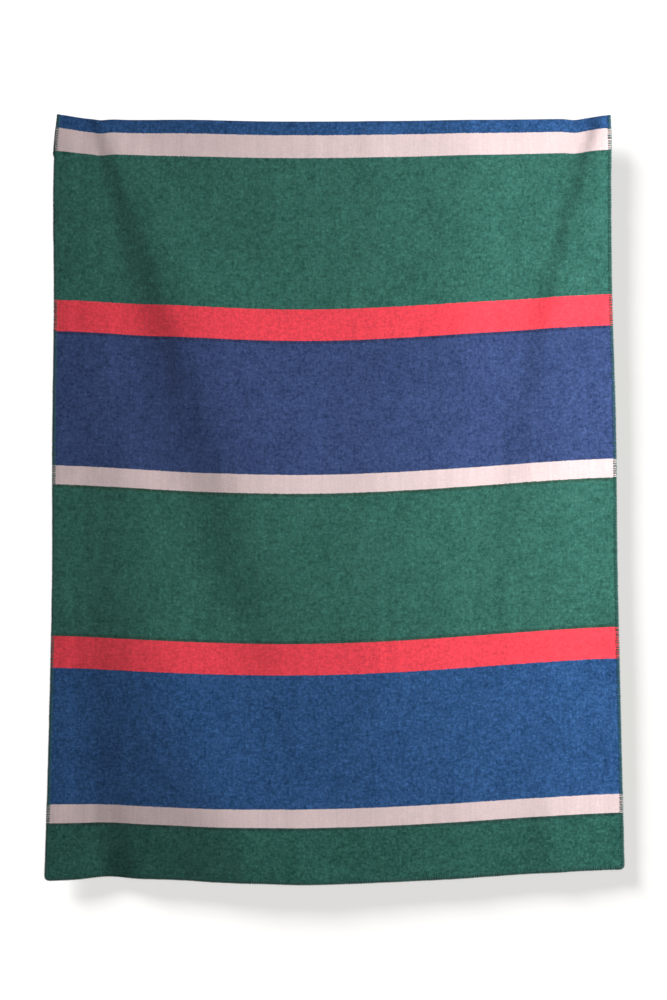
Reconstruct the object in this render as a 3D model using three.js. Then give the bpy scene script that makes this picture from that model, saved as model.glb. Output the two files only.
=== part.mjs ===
// Wool blanket, 1.3 m by 1.8 m, held up by its top edge.
// It is one woven piece of thick brushed cloth. The top is turned over to the back in a tight fold,
// and the rest hangs down in front, in uneven folds that start near the top corners and open
// towards the hem.
// Millimetres, +Z up, with the front facing -Y. The origin is the middle of the top fold.

import * as THREE from "three";

// The cloth, measured along it from the top fold
const clothThickness = 3;
const frontLength = 1697;
const turnRadius = 3.2;
const flapLength = 90;
const cornerRadius = 11;

// The corners of the turned-over flap stand out this far past the front
const flapPeek = { left: 4.5, right: 1.5 };

// The front at eight levels: the distance of each side edge from the middle, how far a woven row sags
// between its ends, and how much higher its right end is than its left end
const levels = [
  { down: 0, left: 629, right: 624, sag: 5, tilt: 3 },
  { down: 60, left: 634, right: 625, sag: 9, tilt: 5 },
  { down: 180, left: 636, right: 624, sag: 16, tilt: 9 },
  { down: 410, left: 632, right: 625, sag: 26, tilt: 13 },
  { down: 710, left: 633, right: 632, sag: 29, tilt: 15 },
  { down: 1040, left: 631, right: 633, sag: 28, tilt: 19 },
  { down: 1390, left: 636, right: 638, sag: 24, tilt: 22 },
  { down: frontLength, left: 643, right: 644, sag: 16, tilt: 22 },
];

// The bow that a sagging row hangs in: a lean of its lowest place to the left, and how full its middle is
const bowLean = 0.9;
const bowFullness = 1.5;

// Small rises and notches of the top edge, which fade down the cloth
const topEdge = [
  { name: "left corner", across: -640, rise: 11, width: 60 },
  { name: "left notch", across: -530, rise: -3, width: 16 },
  { name: "left shoulder", across: -330, rise: 3, width: 120 },
  { name: "right notch", across: 546, rise: -3.5, width: 20 },
  { name: "right corner", across: 640, rise: 4, width: 45 },
];
const topEdgeFade = 120;

// Lifted stretches of the hem, which fade up the cloth
const hemEdge = [
  { name: "left lift", across: -500, rise: 6, width: 60 },
  { name: "wide left lift", across: -370, rise: 9, width: 150 },
  { name: "middle lift", across: -170, rise: 3, width: 90 },
  { name: "right lift", across: 520, rise: 3, width: 170 },
];
const hemEdgeFade = 150;

// A short tuck by the hem's left corner, where the cloth bends back; it fades up the cloth
const hemTuck = { across: -509, depth: 10, width: 40, fade: 75 };

// The folds, from left to right, each a soft ridge. Where its crest lies across the cloth, how far it
// comes forward, or falls back where that is below 0, and how wide its left flank is are given at five
// even steps from the top to the hem. Its right flank is wider or narrower by the ratio.
const folds = [
  {
    name: "left edge",
    across: [-632, -638, -640, -645, -655],
    rise: [7, 11, 12, 9, 7],
    flank: [55, 90, 95, 80, 55],
    ratio: 1,
  },
  {
    name: "left hem",
    across: [-560, -545, -520, -486, -430],
    rise: [0, 0, 2, 3.5, 7],
    flank: [50, 50, 55, 60, 60],
    ratio: 1.4,
  },
  {
    name: "left sweep",
    across: [-565, -528, -452, -385, -185],
    rise: [3, 6, 11.5, 21, 29],
    flank: [45, 62, 92, 140, 172],
    ratio: 1.1,
  },
  {
    name: "left notch",
    across: [-527, -352, -192, -85, -45],
    rise: [7, 18, 21, 7, 9],
    flank: [22, 70, 114, 84, 75],
    ratio: 2.4,
  },
  {
    name: "middle",
    across: [82, 95, 105, 115, 120],
    rise: [1.5, 2.5, 8, 8, 9],
    flank: [18, 50, 90, 110, 110],
    ratio: 2,
  },
  {
    name: "right",
    across: [300, 282, 266, 252, 240],
    rise: [3, 8.5, 4, 2, 2],
    flank: [90, 140, 120, 110, 110],
    ratio: 0.6,
  },
  {
    name: "right notch",
    across: [608, 498, 438, 370, 275],
    rise: [7, 8, 6, 4.5, 4.5],
    flank: [20, 34, 55, 60, 70],
    ratio: 3,
  },
  {
    name: "right hem",
    across: [470, 470, 470, 474, 480],
    rise: [0, 0, 0, 1, 8],
    flank: [50, 50, 50, 45, 40],
    ratio: 2.2,
  },
  {
    name: "right edge",
    across: [650, 650, 650, 650, 656],
    rise: [13, 10, 2, 5, -5],
    flank: [85, 80, 60, 50, 70],
    ratio: 1,
  },
];

const woolColour = 0x2f5f55;

// Fineness of the mesh
const columns = 46;
const frontRows = 38;
const turnRows = 6;
const flapRows = 5;

// Columns lie closer together on the left, where the folds are narrow
const columnCrowding = 1.2;
// Rows lie closer together at the top fold and at the hems
const rowCrowding = 0.95;
// The step over which the cloth's slope is measured, in parts of its width and in millimetres along it
const slopeStep = 0.002;

const quarterTurn = (turnRadius * Math.PI) / 2;

/** Smooth curves through the rows of a table, each row one list of values at one distance down. */
function smoothTable(downs, rows) {
  return new THREE.CubicInterpolant(downs, rows.flat(), rows[0].length);
}

const levelTable = smoothTable(
  levels.map((level) => level.down),
  levels.map((level) => [level.left, level.right, level.sag, level.tilt]),
);

const foldTables = folds.map((fold) => ({
  ratio: fold.ratio,
  table: smoothTable(
    fold.across.map((_, step) => (frontLength * step) / (fold.across.length - 1)),
    fold.across.map((across, step) => [across, fold.rise[step], fold.flank[step]]),
  ),
}));

/** A bell curve: 1 at 0, falling smoothly to nothing past about twice the width. */
function bell(distance, width) {
  return Math.exp(-((distance / width) ** 2));
}

/** How far the folds, less the tuck, bring the cloth forward at a place across it and down it. */
function foldRise(across, down) {
  const tuck = bell(across - hemTuck.across, hemTuck.width) * bell(frontLength - down, hemTuck.fade);
  return foldTables.reduce((sum, fold) => {
    const [crest, rise, flank] = fold.table.evaluate(down);
    const width = across < crest ? flank : flank * fold.ratio;
    return sum + rise * bell(across - crest, width);
  }, -hemTuck.depth * tuck);
}

/** How far the rows of an edge's table raise the cloth at a place across it. */
function edgeRise(table, across) {
  return table.reduce((sum, row) => sum + row.rise * bell(across - row.across, row.width), 0);
}

/** How far a side edge draws in at a rounded corner, by the distance left to the hem. */
function cornerInset(toHem) {
  const intoCorner = THREE.MathUtils.clamp(cornerRadius - toHem, 0, cornerRadius);
  return cornerRadius - Math.sqrt(cornerRadius ** 2 - intoCorner ** 2);
}

/** A point of the front, in the middle of the cloth's thickness, before it is moved to the origin. */
function frontPoint(part, down, inset) {
  const [toLeft, toRight, sag, tilt] = levelTable.evaluate(down);
  const left = -toLeft + inset;
  const right = toRight - inset;
  const across = left + (right - left) * part;
  const bow = Math.sin(Math.PI * part ** bowLean) ** bowFullness;
  const topRise = edgeRise(topEdge, across) * bell(down, topEdgeFade);
  const hemRise = edgeRise(hemEdge, across) * bell(frontLength - down, hemEdgeFade);
  const height = topRise + hemRise - sag * bow + tilt * (part - 0.5) - down;
  return new THREE.Vector3(across, -foldRise(across, down), height);
}

const topMiddle = frontPoint(0.5, 0, 0);

/**
 * A point in the middle of the thickness. part runs from 0 at the left edge to 1 at the right edge.
 * along is the distance along the cloth from the top of the fold, down the front where it is
 * positive and down the flap behind where it is negative.
 */
function clothPoint(part, along) {
  const down = Math.max(Math.abs(along) - quarterTurn, 0);
  const behind = along < 0;
  const length = behind ? flapLength : frontLength;
  const point = frontPoint(part, down, cornerInset(length - down)).sub(topMiddle);
  if (behind) {
    const peek = part * (flapPeek.left + flapPeek.right) - flapPeek.left;
    point.x += (peek * down) / flapLength;
  }
  const turn = THREE.MathUtils.clamp(along / turnRadius, -Math.PI / 2, Math.PI / 2);
  point.y -= turnRadius * Math.sin(turn);
  point.z += turnRadius * (Math.cos(turn) - 1) - clothThickness / 2;
  return point;
}

/** The direction that the cloth's outer face looks in, square to its two directions. */
function outward(part, along) {
  const toRight = clothPoint(Math.min(part + slopeStep, 1), along);
  const toLeft = clothPoint(Math.max(part - slopeStep, 0), along);
  const acrossStep = toRight.sub(toLeft);
  const downStep = clothPoint(part, along + slopeStep).sub(clothPoint(part, along - slopeStep));
  return downStep.cross(acrossStep).normalize();
}

/** Distances from 0 to a length, closer together at both ends. */
function crowdedSteps(length, count) {
  return Array.from({ length: count + 1 }, (_, index) => {
    const part = index / count;
    return length * (part - (rowCrowding * Math.sin(2 * Math.PI * part)) / (2 * Math.PI));
  });
}

/** Where the rows of the mesh lie along the cloth, from the front's hem over the fold to the flap's hem. */
function rowPlaces() {
  const front = crowdedSteps(frontLength, frontRows).map((down) => quarterTurn + down);
  const flap = crowdedSteps(flapLength, flapRows).map((down) => -quarterTurn - down);
  const turn = Array.from({ length: turnRows - 1 }, (_, index) => {
    return quarterTurn * (1 - (2 * (index + 1)) / turnRows);
  });
  return [...front.reverse(), ...turn, ...flap];
}

/** The two faces of the cloth, half its thickness either side of the middle, closed along their edges. */
function clothGeometry() {
  const rows = rowPlaces();
  const parts = Array.from({ length: columns + 1 }, (_, index) => (index / columns) ** columnCrowding);
  const outer = [];
  const inner = [];
  for (const along of rows) {
    for (const part of parts) {
      const point = clothPoint(part, along);
      const offset = outward(part, along).multiplyScalar(clothThickness / 2);
      outer.push(point.clone().add(offset));
      inner.push(point.clone().sub(offset));
    }
  }

  const perRow = parts.length;
  const innerStart = outer.length;
  const triangles = [];
  const addQuad = (a, b, c, d) => triangles.push(a, b, c, a, c, d);
  for (let row = 0; row < rows.length - 1; row += 1) {
    for (let column = 0; column < columns; column += 1) {
      const corner = row * perRow + column;
      const above = corner + perRow;
      addQuad(corner, corner + 1, above + 1, above);
      addQuad(innerStart + corner, innerStart + above, innerStart + above + 1, innerStart + corner + 1);
    }
  }
  const addRim = (from, to) => addQuad(from, innerStart + from, innerStart + to, to);
  const lastRow = (rows.length - 1) * perRow;
  for (let column = 0; column < columns; column += 1) {
    addRim(column, column + 1);
    addRim(lastRow + column + 1, lastRow + column);
  }
  for (let row = 0; row < rows.length - 1; row += 1) {
    const left = row * perRow;
    addRim(left + perRow, left);
    addRim(left + columns, left + columns + perRow);
  }

  const geometry = new THREE.BufferGeometry().setFromPoints([...outer, ...inner]);
  geometry.setIndex(triangles);
  geometry.computeVertexNormals();
  return geometry;
}

const wool = new THREE.MeshStandardMaterial({ color: woolColour, roughness: 0.95, metalness: 0 });

const blanket = new THREE.Mesh(clothGeometry(), wool);
blanket.name = "blanket";

const group = new THREE.Group();
group.add(blanket);

export default group;
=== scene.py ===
import math

import bpy
import numpy as np
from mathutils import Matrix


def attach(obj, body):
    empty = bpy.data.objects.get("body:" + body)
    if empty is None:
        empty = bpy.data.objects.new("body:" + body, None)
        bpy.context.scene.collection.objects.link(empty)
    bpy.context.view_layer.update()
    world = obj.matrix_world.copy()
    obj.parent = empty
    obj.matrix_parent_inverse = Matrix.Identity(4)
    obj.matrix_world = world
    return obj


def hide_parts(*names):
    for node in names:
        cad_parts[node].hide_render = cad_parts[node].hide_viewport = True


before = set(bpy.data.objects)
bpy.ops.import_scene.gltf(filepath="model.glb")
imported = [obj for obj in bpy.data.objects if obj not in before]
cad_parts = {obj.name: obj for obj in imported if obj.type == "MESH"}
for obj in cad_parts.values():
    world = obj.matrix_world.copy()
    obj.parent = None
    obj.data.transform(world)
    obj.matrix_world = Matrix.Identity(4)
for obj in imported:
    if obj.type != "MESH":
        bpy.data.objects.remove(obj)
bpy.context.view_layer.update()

# Camera
# The blanket is seen square on, from a little below its middle, with its whole outline in the frame.
camera_distance = 3.84
camera_elevation = math.radians(-3)
view_middle_height = -0.862
# Millimetres of lens on Blender's 36 mm sensor
camera_lens = 61.5

camera = bpy.data.objects.new("camera", bpy.data.cameras.new("camera"))
camera.data.lens = camera_lens
camera.location = (
    0,
    -camera_distance * math.cos(camera_elevation),
    view_middle_height + camera_distance * math.sin(camera_elevation),
)
camera.rotation_euler = (math.pi / 2 - camera_elevation, 0, 0)
bpy.context.scene.collection.objects.link(camera)
bpy.context.scene.camera = camera

# Blanket
# One panel of thick double-woven wool, brushed on both faces. Its top is turned over to the back in a
# tight fold, and the rest hangs in front, in uneven folds that start near the top corners.
cloth_width = 1.30
front_length = 1.697
flap_length = 0.09
turn_radius = 0.0032
quarter_turn = turn_radius * math.pi / 2
cloth_length = front_length + flap_length + 2 * quarter_turn
cloth_thickness = 0.003
corner_radius = 0.011
flap_peek_left = 0.0045
flap_peek_right = 0.0015

# The front at eight levels: how far down it is, how far the left and the right edge are from the
# middle, how far a woven row sags between its ends, and how much higher its right end is
levels = np.array([
    (0.000, 0.629, 0.624, 0.005, 0.003),
    (0.060, 0.634, 0.625, 0.009, 0.005),
    (0.180, 0.636, 0.624, 0.016, 0.009),
    (0.410, 0.632, 0.625, 0.026, 0.013),
    (0.710, 0.633, 0.632, 0.029, 0.015),
    (1.040, 0.631, 0.633, 0.028, 0.019),
    (1.390, 0.636, 0.638, 0.024, 0.022),
    (front_length, 0.643, 0.644, 0.016, 0.022),
])

# Small rises and notches of the top edge, by name: the place across, the rise and the width
top_edge = {
    "left corner": (-0.640, 0.011, 0.060),
    "left notch": (-0.530, -0.003, 0.016),
    "left shoulder": (-0.330, 0.003, 0.120),
    "right notch": (0.546, -0.0035, 0.020),
    "right corner": (0.640, 0.004, 0.045),
}
top_edge_fade = 0.12

# Lifted stretches of the hem, by name: the place across, the rise and the width
hem_edge = {
    "left lift": (-0.500, 0.006, 0.060),
    "wide left lift": (-0.370, 0.009, 0.150),
    "middle lift": (-0.170, 0.003, 0.090),
    "right lift": (0.520, 0.003, 0.170),
}
hem_edge_fade = 0.15

# A short tuck by the hem's left corner, where the cloth bends back; it fades up the cloth
tuck_across = -0.509
tuck_depth = 0.010
tuck_width = 0.040
tuck_fade = 0.075

# The bow that a sagging row hangs in: a lean to the left, and how full its middle is
bow_lean = 0.9
bow_fullness = 1.5

# The folds, from left to right, each a soft ridge. Where its crest lies across the cloth, its rise,
# which falls back where it is below 0, and the width of its left flank are given at five even steps
# from the top to the hem. Its right flank is wider or narrower by the ratio
fold_downs = np.linspace(0, front_length, 5)
folds = {
    "left edge": {
        "across": (-0.632, -0.638, -0.640, -0.645, -0.655),
        "rise": (0.007, 0.011, 0.012, 0.009, 0.007),
        "flank": (0.055, 0.090, 0.095, 0.080, 0.055),
        "ratio": 1,
    },
    "left hem": {
        "across": (-0.560, -0.545, -0.520, -0.486, -0.430),
        "rise": (0.000, 0.000, 0.002, 0.0035, 0.007),
        "flank": (0.050, 0.050, 0.055, 0.060, 0.060),
        "ratio": 1.4,
    },
    "left sweep": {
        "across": (-0.565, -0.528, -0.452, -0.385, -0.185),
        "rise": (0.003, 0.006, 0.0115, 0.021, 0.029),
        "flank": (0.045, 0.062, 0.092, 0.140, 0.172),
        "ratio": 1.1,
    },
    "left notch": {
        "across": (-0.527, -0.352, -0.192, -0.085, -0.045),
        "rise": (0.007, 0.018, 0.021, 0.007, 0.009),
        "flank": (0.022, 0.070, 0.114, 0.084, 0.075),
        "ratio": 2.4,
    },
    "middle": {
        "across": (0.082, 0.095, 0.105, 0.115, 0.120),
        "rise": (0.0015, 0.0025, 0.008, 0.008, 0.009),
        "flank": (0.018, 0.050, 0.090, 0.110, 0.110),
        "ratio": 2,
    },
    "right": {
        "across": (0.300, 0.282, 0.266, 0.252, 0.240),
        "rise": (0.003, 0.0085, 0.004, 0.002, 0.002),
        "flank": (0.090, 0.140, 0.120, 0.110, 0.110),
        "ratio": 0.6,
    },
    "right notch": {
        "across": (0.608, 0.498, 0.438, 0.370, 0.275),
        "rise": (0.007, 0.008, 0.006, 0.0045, 0.0045),
        "flank": (0.020, 0.034, 0.055, 0.060, 0.070),
        "ratio": 3,
    },
    "right hem": {
        "across": (0.470, 0.470, 0.470, 0.474, 0.480),
        "rise": (0.000, 0.000, 0.000, 0.001, 0.008),
        "flank": (0.050, 0.050, 0.050, 0.045, 0.040),
        "ratio": 2.2,
    },
    "right edge": {
        "across": (0.650, 0.650, 0.650, 0.650, 0.656),
        "rise": (0.013, 0.010, 0.002, 0.005, -0.005),
        "flank": (0.085, 0.080, 0.060, 0.050, 0.070),
        "ratio": 1,
    },
}


def smooth_table(table, where):
    """Cubic curves through a table's columns. The slope at each row is that between its neighbours."""
    places, values = table[:, 0], table[:, 1:]
    before = np.maximum(np.arange(len(places)) - 1, 0)
    after = np.minimum(np.arange(len(places)) + 1, len(places) - 1)
    slopes = (values[after] - values[before]) / (places[after] - places[before])[:, None]
    row = np.clip(np.searchsorted(places, where) - 1, 0, len(places) - 2)
    gap = (places[row + 1] - places[row])[..., None]
    t = np.clip((where - places[row])[..., None] / gap, 0, 1)
    start = values[row] * (1 + 2 * t) * (1 - t) ** 2 + slopes[row] * gap * t * (1 - t) ** 2
    end = values[row + 1] * t**2 * (3 - 2 * t) - slopes[row + 1] * gap * t**2 * (1 - t)
    return np.moveaxis(start + end, -1, 0)


def bell(distance, width):
    """exp(-(distance / width) squared): 1 at distance 0, falling to nothing past about twice the width."""
    return np.exp(-((distance / width) ** 2))


# Shallow upright ripples all over the cloth, and wavy edges where the stitching has drawn the rim in.
# Each is a sum of waves of chance pitch, slant, fading length and start
ripple_waves = 16
ripple_height = 0.00007
ripple_pitch = (0.034, 0.062)
ripple_slant = (-0.12, 0.12)
ripple_fade = (0.45, 1.10)
edge_waves = 6
edge_wave_height = 0.00035
edge_wave_pitch = (0.055, 0.120)
edge_wave_reach = 0.030
cloth_chance = np.random.default_rng(11)
ripple_spans = (ripple_pitch, ripple_slant, ripple_fade)
ripple_draws = [cloth_chance.uniform(*span, ripple_waves) for span in ripple_spans]
ripple_starts = cloth_chance.uniform(0, 2 * math.pi, (2, ripple_waves))
edge_pitches = cloth_chance.uniform(*edge_wave_pitch, edge_waves)
edge_starts = cloth_chance.uniform(0, 2 * math.pi, (3, edge_waves))


def ripple_rise(flat_across, down):
    """The sum over the waves of sin(2 pi (across + slant down) / pitch), each times
    cos(2 pi down / fading length)."""
    across, down = flat_across[..., None], down[..., None]
    pitch, slant, fade = ripple_draws
    upright = np.sin(2 * math.pi * (across + slant * down) / pitch + ripple_starts[0])
    return ripple_height * (upright * np.cos(2 * math.pi * down / fade + ripple_starts[1])).sum(axis=-1)


def edge_wave_rise(flat_across, down):
    """The sum over the waves of sin(2 pi way / pitch) along each edge, dying away from that edge."""
    edges = [(flat_across, down), (cloth_width - flat_across, down), (front_length - down, flat_across)]
    total = 0
    for (to_edge, way), start in zip(edges, edge_starts):
        wave = np.sin(2 * math.pi * way[..., None] / edge_pitches + start).sum(axis=-1)
        total = total + wave * np.exp(-np.maximum(to_edge, 0) / edge_wave_reach)
    return edge_wave_height * total


def edge_rise(table, across):
    """The sum of the bells in an edge's table, each a place across, a rise and a width."""
    return sum(rise * bell(across - place, width) for place, rise, width in table.values())


def front_point(flat_across, down):
    """A point of the front, in the middle of the thickness: level lines of the table, drawn down by a
    bow between their ends, and pushed forward by the sum of the folds, less the tuck."""
    part = np.clip(flat_across / cloth_width, 0, 1)
    left, right, sag, tilt = smooth_table(levels, down)
    across = -left + (left + right) * flat_across / cloth_width
    bow = np.sin(math.pi * part**bow_lean) ** bow_fullness
    top_rise = edge_rise(top_edge, across) * bell(down, top_edge_fade)
    hem_rise = edge_rise(hem_edge, across) * bell(front_length - down, hem_edge_fade)
    height = top_rise + hem_rise - sag * bow + tilt * (part - 0.5) - down
    forward = ripple_rise(flat_across, down) + edge_wave_rise(flat_across, down)
    tuck = bell(across - tuck_across, tuck_width) * bell(front_length - down, tuck_fade)
    forward = forward - tuck_depth * tuck
    for fold in folds.values():
        curves = [fold_downs, fold["across"], fold["rise"], fold["flank"]]
        crest, rise, flank = smooth_table(np.stack(curves, axis=1), down)
        width = flank * np.where(across < crest, 1, fold["ratio"])
        forward = forward + rise * bell(across - crest, width)
    return np.stack([across, -forward, height], axis=-1)


def cloth_middle(flat_across, along):
    """The middle of the thickness, hung up. along is measured on the cloth from the top of the fold:
    down the front where it is positive, and down the flap behind where it is negative."""
    flat_across, along = np.broadcast_arrays(flat_across, along)
    down = np.maximum(np.abs(along) - quarter_turn, 0)
    place = front_point(flat_across, down) - front_point(np.array(cloth_width / 2), np.array(0.0))
    part = flat_across / cloth_width
    peek = part * (flap_peek_left + flap_peek_right) - flap_peek_left
    place[..., 0] += np.where(along < 0, peek * down / flap_length, 0)
    turn = np.clip(along / turn_radius, -math.pi / 2, math.pi / 2)
    place[..., 1] -= turn_radius * np.sin(turn)
    place[..., 2] += turn_radius * (np.cos(turn) - 1) - cloth_thickness / 2
    return place


# The cloth's two directions are measured over this step either way
slope_step = 0.0002


def outward(flat_across, along):
    """The unit direction that the outer face looks in: the cross product of the cloth's two directions."""
    right, left = (cloth_middle(flat_across + step, along) for step in (slope_step, -slope_step))
    lower, upper = (cloth_middle(flat_across, along + step) for step in (slope_step, -slope_step))
    normal = np.cross(lower - upper, right - left)
    return normal / np.linalg.norm(normal, axis=-1, keepdims=True)


def new_mesh(name, points, quads):
    """A mesh object at the origin, from arrays of points and of four-cornered faces."""
    mesh = bpy.data.meshes.new(name)
    mesh.vertices.add(len(points))
    mesh.vertices.foreach_set("co", points.astype(np.float32).ravel())
    mesh.loops.add(quads.size)
    mesh.loops.foreach_set("vertex_index", quads.astype(np.int32).ravel())
    mesh.polygons.add(len(quads))
    mesh.polygons.foreach_set("loop_start", np.arange(0, quads.size, 4, dtype=np.int32))
    mesh.update(calc_edges=True)
    mesh.validate()
    mesh.shade_smooth()
    piece = bpy.data.objects.new(name, mesh)
    bpy.context.scene.collection.objects.link(piece)
    return piece


# The cloth is a little thinner where the edge yarn draws it together, and its rim is rounded
edge_thickness = 0.0022
drawn_in_depth = 0.014
rim_radius = 0.0014
rim_steps = np.array([0, 0.0002, 0.0007, rim_radius, 0.003, 0.007])


def thickness_at(depth):
    """The cloth's thickness at a distance in from its edge: a smooth step from the edge's to its own."""
    drawn = np.clip(depth / drawn_in_depth, 0, 1)
    return edge_thickness + (cloth_thickness - edge_thickness) * drawn**2 * (3 - 2 * drawn)


def with_rims(length, step):
    """Distances from 0 to a length, evenly spaced but for fine steps at both rims."""
    middle = np.linspace(rim_steps[-1], length - rim_steps[-1], round(length / step))
    return np.concatenate([rim_steps[:-1], middle, length - rim_steps[-2::-1]])


# Fineness of the mesh
row_step = 0.0078
column_step = 0.0074
turn_rows = 10
flap_rows = 10
turn_places = np.linspace(quarter_turn, -quarter_turn, turn_rows + 1)[1:-1]
front_places = front_length + quarter_turn - with_rims(front_length, row_step)
front_places = front_places[: -(len(rim_steps) - 1)]
front_places = np.append(front_places, quarter_turn)
flap_places = -quarter_turn - np.linspace(0, flap_length - rim_steps[-1], flap_rows + 1)
flap_places = np.append(flap_places, -quarter_turn - flap_length + rim_steps[-2::-1])
row_along = np.concatenate([front_places, turn_places, flap_places])
column_part = with_rims(cloth_width, column_step) / cloth_width

to_hem = np.where(row_along > 0, front_length - row_along, flap_length + row_along) + quarter_turn
into_corner = np.clip(corner_radius - to_hem, 0, corner_radius)
corner_inset = corner_radius - np.sqrt(corner_radius**2 - into_corner**2)
flat_across = corner_inset[:, None] + column_part[None, :] * (cloth_width - 2 * corner_inset[:, None])
along = np.broadcast_to(row_along[:, None], flat_across.shape)

to_side = np.minimum(column_part, 1 - column_part) * cloth_width
to_edge = np.minimum(to_side[None, :], to_hem[:, None])
into_rim = np.clip(1 - to_edge / rim_radius, 0, 1)
half = (thickness_at(to_edge) / 2 * np.sqrt(1 - into_rim**2))[..., None]

middle = cloth_middle(flat_across, along)
normal = outward(flat_across, along)
rows, columns = flat_across.shape
on_rim = np.zeros((rows, columns), bool)
on_rim[[0, -1], :] = True
on_rim[:, [0, -1]] = True
outer_index = np.arange(rows * columns).reshape(rows, columns)
inner_index = outer_index.copy()
inner_index[~on_rim] = rows * columns + np.arange((~on_rim).sum())


def grid_quads(index):
    """The four-cornered faces between neighbouring rows and columns of a grid of point numbers."""
    corners = [index[:-1, :-1], index[:-1, 1:], index[1:, 1:], index[1:, :-1]]
    return np.stack(corners, axis=-1).reshape(-1, 4)


points = np.concatenate([(middle + normal * half).reshape(-1, 3), (middle - normal * half)[~on_rim]])
quads = np.concatenate([grid_quads(outer_index), grid_quads(inner_index)[:, ::-1]])
cloth = new_mesh("blanket_cloth", points, quads)

# Each point keeps its place on the flat cloth, across it and along it from the front's hem
flat_along = front_length + quarter_turn - along
flat = np.stack([flat_across, flat_along], axis=-1)
flat = np.concatenate([flat.reshape(-1, 2), flat[~on_rim]])
flat_map = cloth.data.uv_layers.new(name="flat_cloth")
flat_map.data.foreach_set("uv", flat[quads.ravel()].astype(np.float32).ravel())
reverse_side = cloth.data.attributes.new("reverse_side", "FLOAT", "CORNER")
is_reverse = np.repeat(np.arange(len(quads)) >= len(quads) // 2, 4)
reverse_side.data.foreach_set("value", is_reverse.astype(np.float32))

# The dyes, as red, green and blue, and last how much the single fibres differ in shade
dyes = {
    "deep green": (0.001, 0.091, 0.062, 0.50),
    "green": (0.010, 0.113, 0.074, 0.44),
    "blue": (0.001, 0.058, 0.215, 0.50),
    "violet blue": (0.017, 0.041, 0.169, 0.43),
    "navy": (0.001, 0.033, 0.110, 0.58),
    "red": (0.94, 0.044, 0.074, 0.20),
    "pink": (0.80, 0.622, 0.624, 0.06),
    "olive": (0.034, 0.101, 0.070, 0.48),
}

# The woven bands from the front's hem upwards: width, colour of the face, colour of the reverse
bands = [
    (0.120, "deep green", "navy"),
    (0.045, "pink", "olive"),
    (0.300, "blue", "green"),
    (0.075, "red", "navy"),
    (0.330, "green", "blue"),
    (0.045, "pink", "olive"),
    (0.300, "violet blue", "green"),
    (0.075, "red", "navy"),
    (0.330, "green", "blue"),
    (0.045, "pink", "olive"),
    (0.135, "blue", "deep green"),
]
# Where two bands meet, one row of the darker yarn lies deeper in the cloth, and its colour there is
# darkened further as painted shade
meeting_width = 0.0016
meeting_painted_shade = 0.65
band_raggedness = 0.0011

# The power makes a pale fibre stand out as much as a dark one does. The palest fibres are undyed: their
# part of the cloth grows with the fibre shade, and is nothing below a shade of about 0.6
shade_power = 2.2
undyed_gain = 0.085
undyed_offset = -0.05
undyed_wool = (0.40, 0.40, 0.36, 1)

# The weave under the nap
weft_pitch = 0.0032
warp_pitch = 0.0024
weave_height = 0.22
relief_depth = 0.0010


def add_node(tree, kind, inputs=None, **settings):
    """A shader node with its settings. Its inputs are given as values or as other nodes' outputs."""
    node = tree.nodes.new("ShaderNode" + kind)
    for name, value in settings.items():
        setattr(node, name, value)
    for name, value in (inputs or {}).items():
        if isinstance(value, bpy.types.NodeSocket):
            tree.links.new(value, node.inputs[name])
        else:
            node.inputs[name].default_value = value
    return node


def reckon(tree, operation, *values):
    """The output of one sum, product or other operation on two or three values."""
    return add_node(tree, "Math", dict(enumerate(values)), operation=operation).outputs[0]


def mixed(tree, factor, first, second, blend="MIX"):
    """The output of a mix of two colours."""
    inputs = {0: factor, 6: first, 7: second}
    return add_node(tree, "Mix", inputs, data_type="RGBA", blend_type=blend).outputs[2]


def flecks(
        tree, place, per_metre, low, high,
        detail=2.0, rough=0.5, shift=0.0, from_low=0.3, from_high=0.7):
    """Soft noise with so many flecks a metre each way, carried to a range from low to high."""
    stretch = {"Vector": place, "Scale": (*per_metre, 1.0), "Location": (shift, shift, 0)}
    stretched = add_node(tree, "Mapping", stretch).outputs[0]
    fineness = {"Vector": stretched, "Scale": 1.0, "Detail": detail, "Roughness": rough}
    noise = add_node(tree, "TexNoise", fineness).outputs[0]
    ends = {"From Min": from_low, "From Max": from_high, "To Min": low, "To Max": high}
    return add_node(tree, "MapRange", {"Value": noise, **ends}).outputs[0]


def band_stops(side):
    """The colour stops of one face: each band, and where it meets the next one a line of the darker yarn,
    darkened further as painted shade.
    """
    ends = np.cumsum([band[0] for band in bands])
    colours = np.array([dyes[band[side]] for band in bands])
    stops = [(0.0, colours[0])]
    for end, below, above in zip(ends[:-1], colours[:-1], colours[1:]):
        darker = min(below, above, key=lambda colour: colour[:3].sum())
        # The darker yarn's own colour, darkened by painted shade where it lies deeper
        stops.append((end - meeting_width / 2, darker * (*[meeting_painted_shade] * 3, 1)))
        stops.append((end + meeting_width / 2, above))
    return stops


def band_ramp(tree, place, side):
    """The dye and the fibre contrast of one face, by the distance from the hem in cloth lengths."""
    ramp = add_node(tree, "ValToRGB", {"Fac": place})
    ramp.color_ramp.interpolation = "CONSTANT"
    elements = ramp.color_ramp.elements
    elements.remove(elements[1])
    for number, (start, colour) in enumerate(band_stops(side)):
        stop = elements[0] if number == 0 else elements.new(start / cloth_length)
        stop.color = colour
    return ramp.outputs


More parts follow.
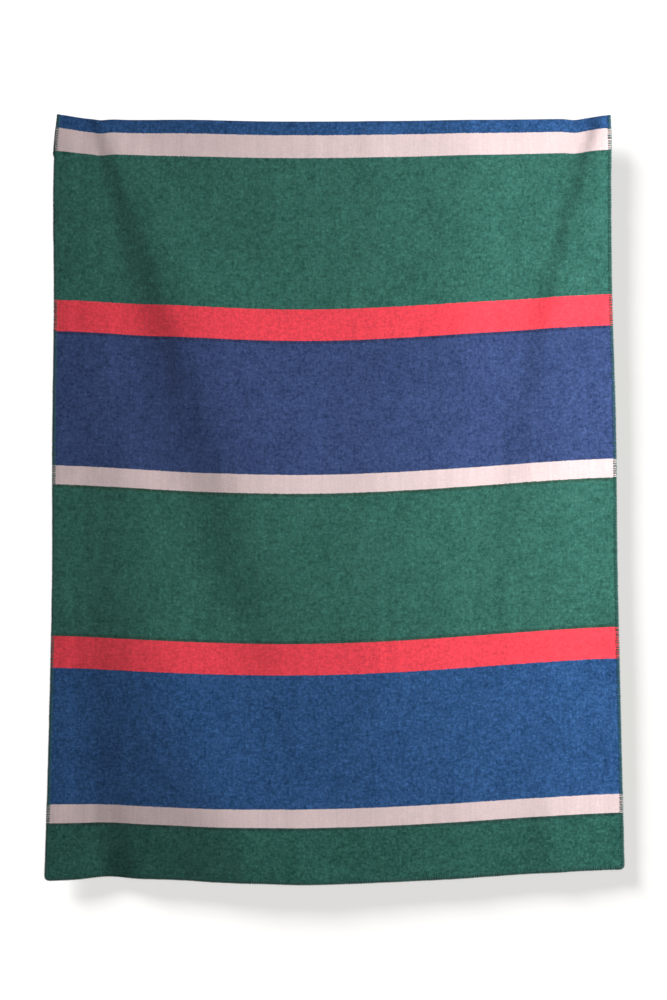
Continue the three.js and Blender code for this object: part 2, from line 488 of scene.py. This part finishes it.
def wool_material():
    """Brushed double-woven wool: bands with ragged edges, flecks of the other face's yarn, uneven and
    undyed fibres, streaks along the warp, a weave under the nap and the nap's short fuzz."""
    material = bpy.data.materials.new("brushed_wool")
    material.use_nodes = True
    tree = material.node_tree
    place = add_node(tree, "UVMap", uv_map="flat_cloth").outputs[0]
    reverse = add_node(tree, "Attribute", attribute_name="reverse_side").outputs["Fac"]

    from_hem = add_node(tree, "SeparateXYZ", {0: place}).outputs[1]
    ragged = flecks(tree, place, (420, 420), -band_raggedness, band_raggedness, detail=3)
    in_lengths = reckon(tree, "DIVIDE", reckon(tree, "ADD", from_hem, ragged), cloth_length)
    face, back = band_ramp(tree, in_lengths, 1), band_ramp(tree, in_lengths, 2)
    own = mixed(tree, reverse, face[0], back[0])
    other = mixed(tree, reverse, back[0], face[0])
    contrast = mixed(tree, reverse, face[1], back[1])

    other_fibres = flecks(tree, place, (330, 260), 0.06, 0.45, shift=3.7, from_low=0.45, from_high=0.75)
    colour = mixed(tree, reckon(tree, "MULTIPLY", contrast, other_fibres), own, other)
    weft_fibres = flecks(tree, place, (85, 150), -0.31, 0.34, detail=4, rough=0.72)
    warp_fibres = flecks(tree, place, (150, 85), -0.31, 0.34, detail=4, rough=0.72, shift=9.1)
    pale_fibres = flecks(tree, place, (190, 190), -0.06, 0.50, shift=5.1, from_low=0.48, from_high=0.78)
    clumps = flecks(tree, place, (40, 40), -0.11, 0.11, detail=1, shift=7.3)
    clouds = flecks(tree, place, (12, 10), -0.07, 0.07, detail=1, shift=5.9)
    fibres = reckon(tree, "ADD", reckon(tree, "ADD", weft_fibres, warp_fibres), pale_fibres)
    unevenness = reckon(tree, "ADD", fibres, reckon(tree, "ADD", clumps, clouds))
    warp_streaks = flecks(tree, place, (170, 10), 0.96, 1.04, shift=1.3)
    even_shade = reckon(tree, "MULTIPLY_ADD", contrast, unevenness, 1.0)
    fibre_shade = reckon(tree, "POWER", even_shade, shade_power)
    shade = reckon(tree, "MULTIPLY", fibre_shade, warp_streaks)
    grey = add_node(tree, "CombineColor", {"Red": shade, "Green": shade, "Blue": shade}).outputs[0]
    colour = mixed(tree, 1.0, colour, grey, "MULTIPLY")
    undyed_part = reckon(tree, "MULTIPLY_ADD", fibre_shade, undyed_gain, undyed_offset)
    colour = mixed(tree, undyed_part, colour, undyed_wool)

    # A wave of scale 1 has a pitch of pi / 10 metres
    waviness = {"Vector": place, "Distortion": 1.6, "Detail": 1.0, "Detail Scale": 2.0}
    in_weft = {**waviness, "Scale": math.pi / 10 / weft_pitch}
    in_warp = {**waviness, "Scale": math.pi / 10 / warp_pitch}
    weft = add_node(tree, "TexWave", in_weft, bands_direction="Y").outputs[1]
    warp = add_node(tree, "TexWave", in_warp, bands_direction="X").outputs[1]
    nap = flecks(tree, place, (420, 260), 0.0, 1.0, detail=3, shift=2.2, from_low=0.0, from_high=1.0)
    fuzz = flecks(tree, place, (2600, 700), 0.0, 0.35, shift=4.4, from_low=0.0, from_high=1.0)
    height = reckon(tree, "MULTIPLY_ADD", reckon(tree, "MULTIPLY", weft, warp), weave_height, nap)
    relief = {"Height": reckon(tree, "ADD", height, fuzz), "Distance": relief_depth, "Strength": 0.55}

    shader = tree.nodes["Principled BSDF"]
    shader.inputs["Roughness"].default_value = 0.95
    shader.inputs["Specular IOR Level"].default_value = 0.2
    shader.inputs["Sheen Weight"].default_value = 0.08
    shader.inputs["Sheen Roughness"].default_value = 0.6
    tree.links.new(colour, shader.inputs["Base Color"])
    tree.links.new(add_node(tree, "Bump", relief).outputs[0], shader.inputs["Normal"])
    return material


cloth.data.materials.append(wool_material())

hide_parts("blanket")
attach(cloth, "root")

# Edge stitches
# Dark green woollen yarn, overcast on all four edges of the cloth by machine. Each stitch goes in some
# 7 mm from the edge on the front, comes over the rim and goes in again at the back.
stitch_pitch = 0.0038
yarn_half_width = 0.00112
yarn_half_height = 0.0007
yarn_sides = 6
stitch_slant = 0.0007
depth_change = 0.0007
way_change = 0.0006
width_change = 0.15
end_fullness = 0.7
# One stitch from its front hole to the rim: the distance in from the edge and the height over the face
# of the cloth. Round the rim it lies off the edge, with heights over the middle of the thickness
stitch_front = np.array([(0.0076, -0.0006), (0.0066, 0.0004), (0.0011, 0.0004)])
stitch_rim = np.array([(-0.0006, 0.0008), (-0.0010, 0.0)])
# A direction by the edge is measured over this step
edge_step = 0.001

outline_sides = np.array([cloth_width, cloth_length] * 2) - 2 * corner_radius
outline_stretches = np.stack([outline_sides, np.full(4, corner_radius * math.pi / 2)], axis=1).ravel()
outline_ways = np.concatenate([[0], np.cumsum(outline_stretches)])
outline_length = outline_ways[-1]
stitch_count = round(outline_length / stitch_pitch)


def outline_place(way, depth):
    """A place on the flat cloth, so deep in from its outline. The outline is a rounded rectangle: a point
    that goes round the rectangle of the corner circles' centres, and from it the corner radius in a
    direction that turns only at the corners."""
    way = np.mod(way, outline_length)
    turns = np.concatenate([[0], np.cumsum(outline_sides)])
    gone = np.interp(way, outline_ways, np.repeat(turns, 2)[1:])
    facing = np.interp(way, outline_ways, np.repeat(np.arange(5) * math.pi / 2, 2)[:-1])
    near, far_across, far_along = corner_radius, cloth_width - corner_radius, cloth_length - corner_radius
    across = np.interp(gone, turns, [near, far_across, far_across, near, near])
    from_hem = np.interp(gone, turns, [near, near, far_along, far_along, near])
    reach = corner_radius - depth
    return across + reach * np.sin(facing), from_hem - reach * np.cos(facing)


def over_edge(way, depth, height):
    """A point by the edge of the hung cloth: the middle of its thickness at a depth in from the edge,
    straight on outwards past the edge, then moved square to the cloth by the height."""
    across, from_hem = outline_place(way, np.maximum(depth, 0))
    on_cloth = cloth_middle(across, front_length + quarter_turn - from_hem)
    rim_across, rim_from_hem = outline_place(way, 0)
    inner_across, inner_from_hem = outline_place(way, edge_step)
    rim = cloth_middle(rim_across, front_length + quarter_turn - rim_from_hem)
    inner = cloth_middle(inner_across, front_length + quarter_turn - inner_from_hem)
    off = (rim - inner) / np.linalg.norm(rim - inner, axis=-1, keepdims=True)
    square = outward(across, front_length + quarter_turn - from_hem)
    return on_cloth + off * np.maximum(-depth, 0)[..., None] + square * height[..., None]


def yarn_tubes(name, centre, beside, half_width, half_height):
    """Yarns as tubes: centre + half width cos(a) side + half height sin(a) up round each ring, where side
    is square to the yarn in the plane of the given direction, and up is square to both."""
    tangent = np.gradient(centre, axis=1)
    tangent /= np.linalg.norm(tangent, axis=-1, keepdims=True)
    side = beside - (beside * tangent).sum(axis=-1, keepdims=True) * tangent
    side /= np.linalg.norm(side, axis=-1, keepdims=True)
    up = np.cross(tangent, side)
    angle = np.arange(yarn_sides) * 2 * math.pi / yarn_sides
    wide = (half_width[..., None] * np.cos(angle))[..., None] * side[..., None, :]
    high = (half_height[..., None] * np.sin(angle))[..., None] * up[..., None, :]
    points = centre[..., None, :] + wide + high
    index = np.arange(points.size // 3).reshape(points.shape[:-1])
    here, after = index[:, :-1], index[:, 1:]
    quads = np.stack([here, np.roll(here, -1, axis=2), np.roll(after, -1, axis=2), after], axis=-1)

    step = np.linalg.norm(np.diff(centre, axis=1), axis=-1)
    way = np.cumsum(step, axis=1) - step
    way = np.broadcast_to(way[..., None], here.shape)
    step = np.broadcast_to(step[..., None], here.shape)
    around = np.broadcast_to(np.arange(yarn_sides) / yarn_sides, here.shape)
    next_around = around + 1 / yarn_sides
    flat = np.stack([way, around, way, next_around, way + step, next_around, way + step, around], axis=-1)

    # Each end of a six-sided yarn is closed by two four-cornered faces
    halves = [[0, 1, 2, 3], [0, 3, 4, 5]]
    first = index[:, 0][:, halves].reshape(-1, 4)[:, ::-1]
    last = index[:, -1][:, halves].reshape(-1, 4)
    quads = np.concatenate([quads.reshape(-1, 4), first, last])
    flat = np.concatenate([flat.reshape(-1, 8), np.zeros((len(first) + len(last), 8))])
    tubes = new_mesh(name, points.reshape(-1, 3), quads)
    tubes.data.uv_layers.new(name="along_yarn").data.foreach_set("uv", flat.astype(np.float32).ravel())
    return tubes


stitch_chance = np.random.default_rng(23)
half_path = np.concatenate([
    np.stack([stitch_front[:, 0], thickness_at(stitch_front[:, 0]) / 2 + stitch_front[:, 1]], axis=1),
    stitch_rim,
])
path = np.concatenate([half_path, half_path[-2::-1] * (1, -1)])
depth_stretch = 1 + stitch_chance.uniform(-1, 1, (stitch_count, 1)) * depth_change / stitch_front[0, 0]
stitch_depth = path[:, 0] * np.where(path[:, 0] > 0, depth_stretch, 1)
stitch_height = np.broadcast_to(path[:, 1], stitch_depth.shape)
slant = stitch_slant * np.sign(path[:, 1]) * path[:, 0] / stitch_front[0, 0]
stitch_way = (np.arange(stitch_count) * outline_length / stitch_count)[:, None] + slant
stitch_way = stitch_way + stitch_chance.uniform(-way_change, way_change, (stitch_count, 1))
centre = over_edge(stitch_way, stitch_depth, stitch_height)
beside = over_edge(stitch_way + edge_step, stitch_depth, stitch_height) - centre
fullness = 1 + stitch_chance.uniform(-width_change, width_change, (stitch_count, 1))
fullness = np.repeat(fullness, len(path), axis=1)
fullness[:, [0, -1]] *= end_fullness
half_width, half_height = yarn_half_width * fullness, yarn_half_height * fullness
stitches = yarn_tubes("edge_stitches", centre, beside, half_width, half_height)


ply_pitch = 0.0030
ply_count = 2
# Painted shade and light of the plies: how much darker the grooves and lighter the crests are coloured
ply_painted_shade = 0.12
yarn_colour = (0.036, 0.112, 0.096, 1)
yarn_relief_depth = 0.0003


def yarn_material():
    """Plied wool yarn: ridges that wind round it, as the sine of the way along it plus the turns round it,
    with painted shade in the grooves and painted light on the crests, a little fuzz, and shades that
    change along the edge."""
    material = bpy.data.materials.new("edge_yarn")
    material.use_nodes = True
    tree = material.node_tree
    place = add_node(tree, "UVMap", uv_map="along_yarn").outputs[0]
    object_place = add_node(tree, "TexCoord").outputs["Object"]
    way, around, _ = add_node(tree, "SeparateXYZ", {0: place}).outputs
    turn = reckon(tree, "MULTIPLY_ADD", way, 1 / ply_pitch, reckon(tree, "MULTIPLY", around, ply_count))
    ply = reckon(tree, "SINE", reckon(tree, "MULTIPLY", turn, 2 * math.pi))
    patches = flecks(tree, object_place, (300, 300), 0.75, 1.3)
    # Painted shade and light: the yarn is coloured darker in the grooves between its plies and lighter on
    # their crests
    shade = reckon(tree, "MULTIPLY_ADD", ply, ply_painted_shade, patches)
    grey = add_node(tree, "CombineColor", {"Red": shade, "Green": shade, "Blue": shade}).outputs[0]
    colour = mixed(tree, 1.0, yarn_colour, grey, "MULTIPLY")
    fuzz = flecks(tree, object_place, (2500, 2500), 0.0, 1.0)
    height = reckon(tree, "MULTIPLY_ADD", ply, 0.5, fuzz)
    relief = {"Height": height, "Distance": yarn_relief_depth, "Strength": 0.6}

    shader = tree.nodes["Principled BSDF"]
    shader.inputs["Roughness"].default_value = 0.95
    shader.inputs["Specular IOR Level"].default_value = 0.1
    shader.inputs["Sheen Weight"].default_value = 0.04
    shader.inputs["Sheen Roughness"].default_value = 0.6
    tree.links.new(colour, shader.inputs["Base Color"])
    tree.links.new(add_node(tree, "Bump", relief).outputs[0], shader.inputs["Normal"])
    return material


stitches.data.materials.append(yarn_material())
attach(stitches, "root")

# Studio
# A white wall close behind the blanket, a pale floor, one large soft light from the right on the
# blanket, and another from the upper left that casts the blanket's shadow on the wall.
wall_gap = 0.045
stage_reach = 6.0
floor_height = -2.05
wall_glow = 0.67
floor_glow = 0.84
stage_grey = 0.5
stage_tint = (1, 0.985, 0.955, 1)
soft_light_strength = 0.12
key_place = (1.9, -1.25, -0.42)
key_target = (0.1, 0, -0.75)
key_width = 0.5
key_height = 2.2
key_energy = 87
shadow_right = 0.048
shadow_down = 0.056
shadow_energy = 4.0
shadow_softness = math.radians(20)


def stage_plane(name, corners, material):
    """A flat four-cornered face that isn't part of the object."""
    plane = new_mesh(name, np.array(corners), np.array([[0, 1, 2, 3]]))
    plane.data.materials.append(material)
    return plane


def stage_material(name, glow):
    """A matt white surface with a glow of its own, which can't be seen from behind."""
    material = bpy.data.materials.new(name)
    material.use_nodes = True
    tree = material.node_tree
    shader = tree.nodes["Principled BSDF"]
    shader.inputs["Base Color"].default_value = (stage_grey, stage_grey, stage_grey, 1)
    shader.inputs["Roughness"].default_value = 1.0
    shader.inputs["Specular IOR Level"].default_value = 0.0
    shader.inputs["Emission Color"].default_value = stage_tint
    shader.inputs["Emission Strength"].default_value = glow
    behind = add_node(tree, "NewGeometry").outputs["Backfacing"]
    clear = add_node(tree, "BsdfTransparent").outputs[0]
    seen = add_node(tree, "MixShader", {0: behind, 1: shader.outputs[0], 2: clear}).outputs[0]
    tree.links.new(seen, tree.nodes["Material Output"].inputs["Surface"])
    return material


wall = stage_plane("wall", [
    (-stage_reach, wall_gap, floor_height), (stage_reach, wall_gap, floor_height),
    (stage_reach, wall_gap, stage_reach), (-stage_reach, wall_gap, stage_reach),
], stage_material("white_wall", wall_glow))
wall.visible_shadow = False
floor = stage_plane("floor", [
    (-stage_reach, -stage_reach, floor_height), (stage_reach, -stage_reach, floor_height),
    (stage_reach, stage_reach, floor_height), (-stage_reach, stage_reach, floor_height),
], stage_material("pale_floor", floor_glow))
floor.visible_diffuse = False

world = bpy.context.scene.world or bpy.data.worlds.new("world")
bpy.context.scene.world = world
world.use_nodes = True
sky = world.node_tree
soft_light = sky.nodes["Background"]
soft_light.inputs["Color"].default_value = (1, 1, 1, 1)
soft_light.inputs["Strength"].default_value = soft_light_strength
white = add_node(sky, "Background", {"Color": (1, 1, 1, 1), "Strength": 1.0}).outputs[0]
to_camera = add_node(sky, "LightPath").outputs["Is Camera Ray"]
seen_sky = add_node(sky, "MixShader", {0: to_camera, 1: soft_light.outputs[0], 2: white}).outputs[0]
sky.links.new(seen_sky, sky.nodes["World Output"].inputs["Surface"])


def collection_of(name, members):
    """A collection of objects, for a light that shines on them alone."""
    collection = bpy.data.collections.new(name)
    for member in members:
        collection.objects.link(member)
    return collection


def add_light(name, kind, place, target, energy, shines_on):
    """A light at a place, turned to its target, that shines on one collection."""
    light = bpy.data.objects.new(name, bpy.data.lights.new(name, kind))
    light.data.energy = energy
    light.location = place
    aim = np.array(target) - np.array(place)
    tip = math.acos(-aim[2] / np.linalg.norm(aim))
    light.rotation_euler = (tip, 0, math.atan2(aim[1], aim[0]) - math.pi / 2)
    light.light_linking.receiver_collection = shines_on
    bpy.context.scene.collection.objects.link(light)
    return light


blanket_pieces = collection_of("blanket_pieces", [cloth, stitches])
wall_alone = collection_of("wall_alone", [wall])
key = add_light("key_light", "AREA", key_place, key_target, key_energy, blanket_pieces)
key.data.shape = "RECTANGLE"
key.data.size = key_width
key.data.size_y = key_height
shadow_aim = (shadow_right, wall_gap, -shadow_down)
shadow_light = add_light("shadow_light", "SUN", (0, 0, 0), shadow_aim, shadow_energy, wall_alone)
shadow_light.data.angle = shadow_softness
bpy.context.scene.view_settings.view_transform = "Standard"
